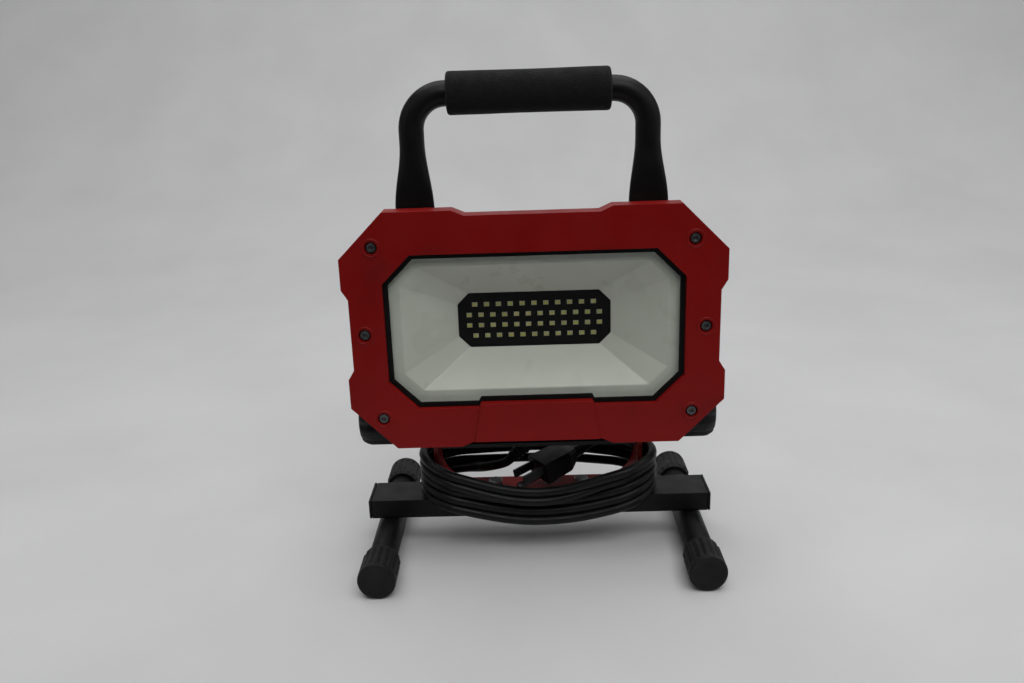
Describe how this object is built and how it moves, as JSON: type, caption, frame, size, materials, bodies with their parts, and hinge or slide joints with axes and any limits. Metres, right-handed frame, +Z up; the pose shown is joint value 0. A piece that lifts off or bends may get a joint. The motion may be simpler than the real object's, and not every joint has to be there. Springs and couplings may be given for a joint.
{
  "type": "portable LED work light",
  "caption": "Portable LED work light: a tilting lamp head with carry handle, held by two side knobs in a yoke on a low floor stand, with its mains cord wound under the head.",
  "frame": {"origin": "on the floor, in the middle of the stand's footprint", "axes": "+Z up, the lamp face looks towards -Y, +X is the viewer's right when facing the lamp face"},
  "size_m": [0.2488, 0.168, 0.3289],
  "materials": {
    "red_plastic": "satin moulded plastic, fine grain",
    "red_paint": "satin powder coat",
    "black_metal": "satin black powder coat",
    "black_plastic": "matte moulded plastic",
    "rubber": "matte",
    "foam": "matte foam, fine cells",
    "cord_jacket": "satin vinyl jacket",
    "steel": "zinc plated",
    "brass": "plain",
    "clear_lens": "clear, gloss",
    "white_reflector": "gloss white",
    "board_black": "black board",
    "board_green": "green board",
    "aluminium_plate": "milled",
    "tape_yellow": "taped winding"
  },
  "bodies": {
    "stand": {"yoke": "red_paint", "crossbar": "black_metal", "cord_coil": "cord_jacket", "cord_lead": "cord_jacket", "cord_tail": "cord_jacket", "plug_body": "black_plastic", "plug_blade_left": "steel", "plug_blade_right": "steel", "plug_earth_pin": "steel", "yoke_bolt_left": "steel", "yoke_nut_left": "steel", "end_plug_left": "black_plastic", "foot_tube_left": "black_metal", "foot_screw_left": "steel", "foot_cap_front_left": "rubber", "foot_cap_rear_left": "rubber", "yoke_bolt_right": "steel", "yoke_nut_right": "steel", "end_plug_right": "black_plastic", "foot_tube_right": "black_metal", "foot_screw_right": "steel", "foot_cap_front_right": "rubber", "foot_cap_rear_right": "rubber"},
    "head": {"bezel": "red_plastic", "lens_gasket": "rubber", "lens": "clear_lens", "reflector": "white_reflector", "led_board": "board_black", "heat_spreader": "aluminium_plate", "driver_board": "board_green", "driver_transformer": "tape_yellow", "driver_capacitor": "black_plastic", "housing_seal": "rubber", "rear_housing": "black_metal", "handle_tube": "black_metal", "handle_grip": "foam", "switch_body": "black_plastic", "cable_gland": "black_plastic", "strain_relief": "rubber", "supply_wires": "cord_jacket", "bezel_screw_left_top": "steel", "bezel_screw_left_middle": "steel", "bezel_screw_left_bottom": "steel", "handle_bolt_left": "steel", "pivot_bolt_left": "steel", "friction_washer_left": "rubber", "knob_washer_left": "steel", "bezel_screw_right_top": "steel", "bezel_screw_right_middle": "steel", "bezel_screw_right_bottom": "steel", "handle_bolt_right": "steel", "pivot_bolt_right": "steel", "friction_washer_right": "rubber", "knob_washer_right": "steel"},
    "knob_left": {"tilt_knob_left": "black_plastic", "knob_insert_left": "brass"},
    "knob_right": {"tilt_knob_right": "black_plastic", "knob_insert_right": "brass"},
    "rocker": {"switch_rocker": "red_plastic"}
  },
  "joints": [
    {"name": "head_tilt", "type": "hinge", "parent": "stand", "child": "head", "pos_m": [0, 0, 0.095], "axis": [1, 0, 0], "range_deg": [-90, 20], "deforming": ["cord_lead"]},
    {"name": "knob_left_turn", "type": "hinge", "parent": "head", "child": "knob_left", "pos_m": [-0.1, 0, 0.095], "axis": [-1, 0, 0], "continuous": true},
    {"name": "knob_right_turn", "type": "hinge", "parent": "head", "child": "knob_right", "pos_m": [0.1, 0, 0.095], "axis": [1, 0, 0], "continuous": true},
    {"name": "switch_rock", "type": "hinge", "parent": "head", "child": "rocker", "pos_m": [0.03, 0.013, 0.104], "axis": [1, 0, 0], "range_deg": [0, 14]}
  ]
}
